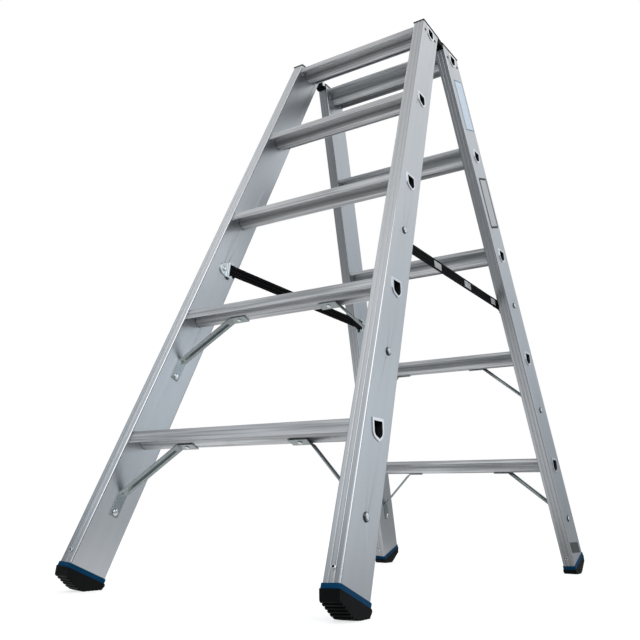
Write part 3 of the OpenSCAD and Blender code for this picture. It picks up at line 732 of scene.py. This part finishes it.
# middle line of the band: tail, loop round one bar, the span, loop round the other bar, tail
def strapLine(values):
    reach, sewn, layer, ease = values["halfSpan"], values["sewn"], values["layer"], values["mouthEase"]
    wide, long = values["loop"]
    sides = (-layer, -layer - ease, -wide + ease, -wide)
    lead = [(-layer, -sewn * part) for part in values["tail"]]
    lead += [(x, -y) for x, y in zip(sides, values["mouth"])]
    turns = [math.pi * step / values["loopParts"] for step in range(values["loopParts"] + 1)]
    around = [(-wide * math.cos(turn), long - wide + wide * math.sin(turn)) for turn in turns]
    endLoop = lead + around + [(-x, y) for x, y in reversed(lead)]

    far = [(x, reach + y) for x, y in endLoop]
    near = [(x, -reach - y) for x, y in endLoop]
    spanEnd, count = reach - sewn - values["taper"], values["spanParts"]
    span = [(0.0, -spanEnd + 2 * spanEnd * step / count) for step in range(count + 1)]
    return near + span + list(reversed(far))


# picks that lean one way on even ribs and the other way on odd ribs, worn on top, with tracer yarns
def webbingFinish(values):
    finish, tree, shader = startFinish("webbing", gloss=values["gloss"])
    flat = addNode(tree, "ShaderNodeUVMap", (-1500, 0), uv_map="weave").outputs["UV"]
    axes = axesOf(tree, flat, (-1300, 0))
    rib = joinValues(tree, "MULTIPLY", axes["Y"], values["ribs"] / values["width"], (-1100, -150))
    swing = joinValues(tree, "PINGPONG", rib, 1.0, (-900, -150))
    along = joinValues(tree, "MULTIPLY", axes["X"], 1 / values["pick"], (-1100, 150))
    lean = joinValues(tree, "MULTIPLY", swing, values["pickLean"], (-720, -150))
    leaning = joinValues(tree, "ADD", along, lean, (-560, 100))
    pick = joinValues(tree, "PINGPONG", leaning, values["pickRise"], (-400, 100))
    raised = joinValues(tree, "MULTIPLY", swing, values["ribRise"], (-560, -300))
    height = joinValues(tree, "ADD", raised, pick, (-240, 0))
    worn = noiseOn(tree, mapped(tree, flat, (-1100, 400), scale=values["wear"]), (-900, 400), 1.0, detail=4.0)
    faded = rangeOf(tree, worn, (-700, 400), *values["wearRise"], 0, values["wearShare"])
    lit = joinValues(tree, "MULTIPLY", faded, height, (-100, 300))
    dark = mixColours(tree, lit, values["colour"], values["worn"], (60, 250))
    third = joinValues(tree, "MULTIPLY", axes["Y"], values["tracers"] / values["width"], (-1100, 600))
    yarn = joinValues(tree, "PINGPONG", third, 0.5, (-900, 600))
    yarn = rangeOf(tree, yarn, (-700, 600), *values["tracerRise"], 0, 1)
    dotted = joinValues(tree, "MULTIPLY", yarn, pick, (-500, 600))
    colour = mixColours(tree, dotted, dark, values["tracer"], (220, 300))
    highest = values["ribRise"] + values["pickRise"]
    coat(tree, shader, colour, rangeOf(tree, height, (-60, -150), 0, highest, *values["rough"]))
    addBump(tree, shader, height, (-60, -350), *values["depth"])
    return finish


def threadFinish(values):
    finish, tree, shader = startFinish("strapThread")
    where = addNode(tree, "ShaderNodeTexCoord", (-900, 0)).outputs["Object"]
    twist = wavesOn(tree, where, (-700, 0), values["threadTwist"], "DIAGONAL")
    colour = mixColours(tree, twist, values["colour"], values["thread"], (-400, 100))
    coat(tree, shader, colour, values["threadRough"])
    addBump(tree, shader, twist, (-400, -200), *values["threadDepth"])
    return finish


def strapPlace(side, values, x, y, across):
    turn = values["tilt"]
    return Vector((side * (values["centre"] + x * math.cos(turn) - across * math.sin(turn)), y,
                   values["height"] + x * math.sin(turn) + across * math.cos(turn)))


# the piece alone is selected, and its faces are turned outwards
def faceOutwards(piece):
    bpy.ops.object.select_all(action="DESELECT")
    piece.select_set(True)
    bpy.context.view_layer.objects.active = piece
    bpy.ops.object.mode_set(mode="EDIT")
    bpy.ops.mesh.select_all(action="SELECT")
    bpy.ops.mesh.normals_make_consistent(inside=False)
    bpy.ops.object.mode_set(mode="OBJECT")


def makeStrap(name, side, values, finish):
    line = strapLine(values)
    run = [0.0]
    for (x0, y0), (x1, y1) in zip(line, line[1:]):
        run.append(run[-1] + math.hypot(x1 - x0, y1 - y0))
    parts, rows = len(line) - 1, 2 * values["ribs"]
    bpy.ops.object.select_all(action="DESELECT")
    bpy.ops.mesh.primitive_grid_add(x_subdivisions=parts, y_subdivisions=rows, size=1, calc_uvs=True)
    band = bpy.context.object
    band.name = name
    mesh = band.data
    mesh.uv_layers[0].name = "weave"
    spots = [(round((v.co.x + 0.5) * parts), round((v.co.y + 0.5) * rows)) for v in mesh.vertices]
    for loop, uv in zip(mesh.loops, mesh.uv_layers[0].data):
        step, row = spots[loop.vertex_index]
        uv.uv = (run[step], row / rows * values["width"])
    for vertex, (step, row) in zip(mesh.vertices, spots):
        before, after = line[max(step - 1, 0)], line[min(step + 1, parts)]
        slope = Vector((after[0] - before[0], after[1] - before[1])).normalized()
        proud = values["ribHeight"] * (1 if row % 2 else -1)
        x, y = line[step][0] - slope.y * proud, line[step][1] + slope.x * proud
        vertex.co = strapPlace(side, values, x, y, (row / rows - 0.5) * values["width"])
    thick = band.modifiers.new("thickness", "SOLIDIFY")
    thick.thickness = values["thick"] - 2 * values["ribHeight"]
    thick.offset = 0
    bpy.ops.object.modifier_apply(modifier="thickness")
    faceOutwards(band)
    bpy.ops.object.shade_smooth_by_angle(angle=values["smoothTo"])
    mesh.materials.append(finish)
    return band, run[-1]


# rows of stitches around each sewn end and across it both ways, each stitch through both layers
def makeStitches(name, side, values, finish):
    stitch = values["stitch"]
    near, far = stitch["fromBar"], values["sewn"] - stitch["fromEnd"]
    edge = values["width"] / 2 - stitch["fromSide"]
    corners = [(near, -edge), (far, -edge), (far, edge), (near, edge), (near, -edge), (far, edge)]
    rows = list(zip(corners, corners[1:])) + [((near, edge), (far, -edge))]
    places = []
    for end in (-1, 1):
        for (y0, z0), (y1, z1) in rows:
            count = max(2, round(math.hypot(y1 - y0, z1 - z0) / stitch["pitch"]))
            turn = math.atan2(z1 - z0, -end * (y1 - y0))
            for step in range(count):
                part = (step + 0.5) / count
                y = end * (values["halfSpan"] - y0 - (y1 - y0) * part)
                places.append((y, z0 + (z1 - z0) * part, turn))
    bpy.ops.object.select_all(action="DESELECT")
    bpy.ops.mesh.primitive_uv_sphere_add(segments=8, ring_count=5, radius=0.5)
    bead = bpy.context.object
    bead.name = name
    bead.scale = (4 * values["layer"] + stitch["proud"], stitch["length"], stitch["width"])
    bpy.ops.object.transform_apply(location=False, rotation=False, scale=True)
    pattern = [v.co.copy() for v in bead.data.vertices]
    bpy.ops.object.mode_set(mode="EDIT")
    bpy.ops.mesh.select_all(action="SELECT")
    for _ in places[1:]:
        bpy.ops.mesh.duplicate()
    bpy.ops.object.mode_set(mode="OBJECT")
    size = len(pattern)
    for index, (y, z, turn) in enumerate(places):
        for spot, co in enumerate(pattern):
            dy = co.y * math.cos(turn) - co.z * math.sin(turn)
            dz = co.y * math.sin(turn) + co.z * math.cos(turn)
            bead.data.vertices[index * size + spot].co = strapPlace(side, values, co.x, y + dy, z + dz)
    faceOutwards(bead)
    bpy.ops.object.shade_smooth()
    bead.data.materials.append(finish)
    return bead


def bendWithSections(piece):
    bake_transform(piece)


tag = {
    "places": (-0.089, 0.079, 0.2455),
    "lengths": (0.0355, 0.036, 0.027),
    "width": 0.0158,
    "thick": 0.0004,
    "round": 0.0015,
    "parts": (21, 6),
    "colour": (0.78, 0.78, 0.79, 1),
    "faded": (0.58, 0.58, 0.59, 1),
    "rough": 0.8,
    "threads": 420,  # of the weave, and how much they shade it
    "threadShare": 0.4,
    "depth": (0.0001, 0.6),
    "fading": 120.0,  # faded spots per metre, the part of the noise that is faded, and how much
    "fadeRise": (0.35, 0.7),
    "fadeShare": 0.6,
}


# how far the outer layer of the band stands out, at a place along it
def bandRise(values, y):
    sewnFrom = values["halfSpan"] - values["sewn"]
    part = min(max((abs(y) - sewnFrom + values["taper"]) / values["taper"], 0), 1)
    return values["layer"] * part


# a tag with rounded corners that lies on the band and follows it
def makeTag(name, side, values, band, place, length):
    columns, rows = values["parts"]
    bpy.ops.object.select_all(action="DESELECT")
    bpy.ops.mesh.primitive_grid_add(x_subdivisions=columns, y_subdivisions=rows, size=1)
    piece = bpy.context.object
    piece.name = name
    for vertex in piece.data.vertices:
        vertex.select = min(abs(vertex.co.x), abs(vertex.co.y)) > 0.499  # the four corners
    piece.scale = (length, values["width"], 1)
    bpy.ops.object.transform_apply(location=False, rotation=False, scale=True)
    bpy.ops.object.mode_set(mode="EDIT")
    bpy.ops.mesh.select_mode(type="VERT")
    bpy.ops.mesh.bevel(offset=values["round"], segments=4, affect="VERTICES")
    bpy.ops.mesh.select_all(action="SELECT")
    bpy.ops.mesh.extrude_region_move(TRANSFORM_OT_translate={"value": (0, 0, values["thick"])})
    bpy.ops.object.mode_set(mode="OBJECT")
    for vertex in piece.data.vertices:
        along, across, out = vertex.co
        rise = bandRise(band, place + along) + band["thick"] / 2
        vertex.co = strapPlace(side, band, rise + out, place + along, across)
    faceOutwards(piece)
    return piece


def wovenTagFinish(values):
    finish, tree, shader = startFinish("wovenTag")
    where = addNode(tree, "ShaderNodeTexCoord", (-1100, 0)).outputs["Object"]
    weft = wavesOn(tree, where, (-850, 150), values["threads"], "Z")
    warp = wavesOn(tree, where, (-850, -100), values["threads"], "Y")
    cloth = joinValues(tree, "MULTIPLY", weft, warp, (-600, 50))
    rubbed = noiseOn(tree, where, (-850, -350), values["fading"], detail=5.0, rough=0.65)
    woven = joinValues(tree, "MULTIPLY", cloth, values["threadShare"], (-430, 80))
    spots = rangeOf(tree, rubbed, (-600, -300), *values["fadeRise"], 0, values["fadeShare"])
    shade = joinValues(tree, "ADD", woven, spots, (-260, 0))
    colour = mixColours(tree, shade, values["colour"], values["faded"], (-90, 100))
    coat(tree, shader, colour, values["rough"])
    addBump(tree, shader, cloth, (-90, -250), *values["depth"])
    return finish


webbing = webbingFinish(strap)
thread = threadFinish(strap)
for sideName, side in (("left", -1), ("right", 1)):
    band, cut = makeStrap(f"{sideName}StrapWebbing", side, strap, webbing)
    sewing = makeStitches(f"{sideName}StrapSewing", side, strap, thread)
    carried = [sewing]
    if side > 0:
        cloth = wovenTagFinish(tag)
        for number, (place, length) in enumerate(zip(tag["places"], tag["lengths"]), 1):
            piece = makeTag(f"strapTag{number}", side, tag, strap, place, length)
            piece.data.materials.append(cloth)
            carried.append(piece)
    for piece in [band] + carried:
        bendWithSections(piece)
    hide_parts(f"{sideName}_strap")
    print(sideName, "strap cut", round(cut, 4))

# middles are down the stile and to its climbing side; turns and slants are for a label that lies askew
labels = {
    "upperLabel": {"middle": (0.1605, 0.0035), "size": (0.145, 0.057), "turn": 0, "slant": 0,
                   "band": 0.0026, "corner": 0.003, "edge": (0.05, 0.16, 0.30, 1),
                   "face": (0.62, 0.72, 0.82, 1), "tint": (0.68, 0.76, 0.84, 1)},
    "lowerLabel": {"middle": (0.441, 0.00335), "size": (0.142, 0.0579), "turn": 0, "slant": 0,
                   "band": 0.0058, "corner": 0.0065, "edge": (0.006, 0.006, 0.007, 1),
                   "face": (0.46, 0.47, 0.48, 1), "tint": (0.51, 0.52, 0.53, 1)},
    "footLabel": {"middle": (1.357, -0.004), "size": (0.0665, 0.025),
                  "turn": math.pi / 2 - ladder["lean"], "slant": -0.46,
                  "band": 0.0008, "corner": 0.003, "edge": (0.10, 0.10, 0.10, 1),
                  "face": (0.040, 0.046, 0.046, 1), "tint": (0.055, 0.060, 0.060, 1)},
}
labelFilm = {
    "thick": 0.0003,
    "gloss": 0.2,
    "mottle": 70.0,  # per metre, and the parts of the noise for the colour and the roughness
    "tintRise": (0.35, 0.65),
    "roughRise": (0.3, 0.7),
    "rough": (0.36, 0.50),
}


# smooth film: an even colour with a faint mottle
def filmFinish(name, face, tint):
    finish, tree, shader = startFinish(name, gloss=labelFilm["gloss"])
    where = addNode(tree, "ShaderNodeTexCoord", (-900, 0)).outputs["Object"]
    mottle = noiseOn(tree, where, (-700, 0), labelFilm["mottle"], detail=4.0)
    cloudy = rangeOf(tree, mottle, (-500, 100), *labelFilm["tintRise"], 0, 1)
    colour = mixColours(tree, cloudy, face, tint, (-280, 100))
    rough = rangeOf(tree, mottle, (-500, -150), *labelFilm["roughRise"], *labelFilm["rough"])
    coat(tree, shader, colour, rough)
    return finish


# a thin plate with rounded corners and an edge band, lying flat at the origin
def makePlate(name, length, width, thick, corner, band):
    bpy.ops.object.select_all(action="DESELECT")
    bpy.ops.mesh.primitive_plane_add(size=1)
    plate = bpy.context.object
    plate.name = name
    plate.scale = (length, width, 1)
    bpy.ops.object.transform_apply(location=False, rotation=False, scale=True)
    bpy.ops.object.mode_set(mode="EDIT")
    bpy.ops.mesh.select_all(action="SELECT")
    bpy.ops.mesh.bevel(offset=corner, segments=4, affect="VERTICES")
    bpy.ops.mesh.select_all(action="SELECT")
    bpy.ops.mesh.inset(thickness=band, depth=0)
    bpy.ops.mesh.select_all(action="SELECT")
    bpy.ops.mesh.extrude_region_move(TRANSFORM_OT_translate={"value": (0, 0, thick)})
    bpy.ops.object.mode_set(mode="OBJECT")
    faceOutwards(plate)
    return plate


# a bare label on the outer cheek of the rear right stile
def makeLabel(name, values):
    length, width = values["size"]
    band, turn = values["band"], values["turn"]
    plate = makePlate(name, length, width, labelFilm["thick"], values["corner"], band)
    mesh = plate.data
    mesh.materials.append(filmFinish(name + "Face", values["face"], values["tint"]))
    mesh.materials.append(filmFinish(name + "Edge", values["edge"], values["edge"]))
    inner = length / 2 - band * 0.9, width / 2 - band * 0.9  # between the inset and the rim of the plate
    for face in mesh.polygons:
        corners = [mesh.vertices[index].co for index in face.vertices]
        onFace = all(abs(co.x) < inner[0] and abs(co.y) < inner[1] for co in corners)
        face.material_index = 0 if onFace else 1
    for vertex in mesh.vertices:
        along, across, out = vertex.co
        along += values["slant"] * across
        down = values["middle"][0] + along * math.cos(turn) - across * math.sin(turn)
        ahead = values["middle"][1] + along * math.sin(turn) + across * math.cos(turn)
        vertex.co = cheekPoint(1, 1, down, ahead, out)
    faceOutwards(plate)
    return plate


for name, values in labels.items():
    plate = makeLabel(name, values)
    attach(plate, "rear_section")
print("labels on the rear right stile")
